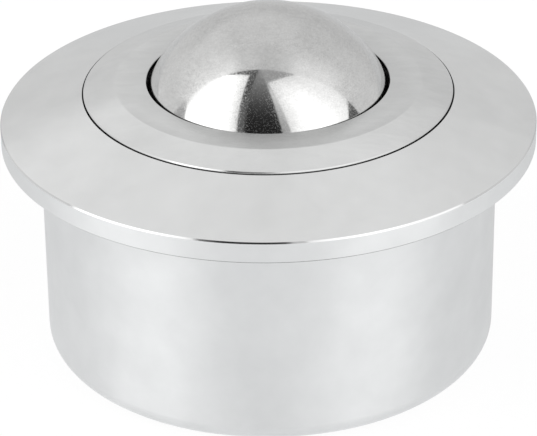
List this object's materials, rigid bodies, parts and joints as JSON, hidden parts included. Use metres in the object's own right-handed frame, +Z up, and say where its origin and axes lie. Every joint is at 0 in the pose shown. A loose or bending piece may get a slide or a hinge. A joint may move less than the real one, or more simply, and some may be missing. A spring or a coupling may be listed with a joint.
{
  "type": "ball castor",
  "caption": "Ball castor: a large steel ball rolls on small balls in a round steel housing that drops into a hole and hangs on its flange.",
  "frame": {"origin": "centre of the flat bottom of the housing", "axes": "+Z up along the axis of the housing and the ball, +X to the right and -Y towards the camera in the picture"},
  "size_m": [0.117, 0.117, 0.0783],
  "materials": {
    "turned_steel": "fine turned, bright",
    "cover_steel": "fine turned, bright",
    "polished_ball": "polished, lightly scuffed",
    "hardened_cup": "ground",
    "wiper_felt": "oiled felt",
    "spring_wire": "drawn wire",
    "bearing_balls": "polished"
  },
  "bodies": {
    "housing": {"housing": "turned_steel", "ball_cup": "hardened_cup", "cover_ring": "cover_steel", "wiper_seal": "wiper_felt", "snap_ring": "spring_wire"},
    "pivot_ball": {"pivot_ball": "bearing_balls"},
    "load_ball": {"load_ball": "polished_ball"},
    "support_crowd": {"support_ball_01": "bearing_balls", "support_ball_02": "bearing_balls", "support_ball_03": "bearing_balls", "support_ball_04": "bearing_balls", "support_ball_05": "bearing_balls", "support_ball_06": "bearing_balls", "support_ball_07": "bearing_balls", "support_ball_08": "bearing_balls", "support_ball_09": "bearing_balls", "support_ball_10": "bearing_balls", "support_ball_11": "bearing_balls", "support_ball_12": "bearing_balls", "support_ball_13": "bearing_balls", "support_ball_14": "bearing_balls", "support_ball_15": "bearing_balls", "support_ball_16": "bearing_balls", "support_ball_17": "bearing_balls", "support_ball_18": "bearing_balls", "support_ball_19": "bearing_balls", "support_ball_20": "bearing_balls", "support_ball_21": "bearing_balls", "support_ball_22": "bearing_balls", "support_ball_23": "bearing_balls", "support_ball_24": "bearing_balls", "support_ball_25": "bearing_balls", "support_ball_26": "bearing_balls", "support_ball_27": "bearing_balls", "support_ball_28": "bearing_balls", "support_ball_29": "bearing_balls", "support_ball_30": "bearing_balls", "support_ball_31": "bearing_balls", "support_ball_32": "bearing_balls", "support_ball_33": "bearing_balls", "support_ball_34": "bearing_balls", "support_ball_35": "bearing_balls", "support_ball_36": "bearing_balls", "support_ball_37": "bearing_balls", "support_ball_38": "bearing_balls", "support_ball_39": "bearing_balls", "support_ball_40": "bearing_balls", "support_ball_41": "bearing_balls", "support_ball_42": "bearing_balls", "support_ball_43": "bearing_balls", "support_ball_44": "bearing_balls", "support_ball_45": "bearing_balls", "support_ball_46": "bearing_balls", "support_ball_47": "bearing_balls", "support_ball_48": "bearing_balls", "support_ball_49": "bearing_balls", "support_ball_50": "bearing_balls", "support_ball_51": "bearing_balls", "support_ball_52": "bearing_balls", "support_balls_upper": "bearing_balls"}
  },
  "joints": [
    {"name": "ball_turn", "type": "hinge", "parent": "housing", "child": "pivot_ball", "pos_m": [0, 0, 0.01624], "axis": [0, 0, 1], "continuous": true},
    {"name": "ball_roll", "type": "hinge", "parent": "pivot_ball", "child": "load_ball", "pos_m": [0, 0, 0.0497], "axis": [1, 0, 0], "continuous": true},
    {"name": "crowd_circle", "type": "hinge", "parent": "housing", "child": "support_crowd", "pos_m": [0, 0, 0.0497], "axis": [0, 0, 1], "continuous": true}
  ],
  "couplings": [
    {"joint": "crowd_circle", "follows": "ball_turn", "ratio": 0.42857}
  ]
}
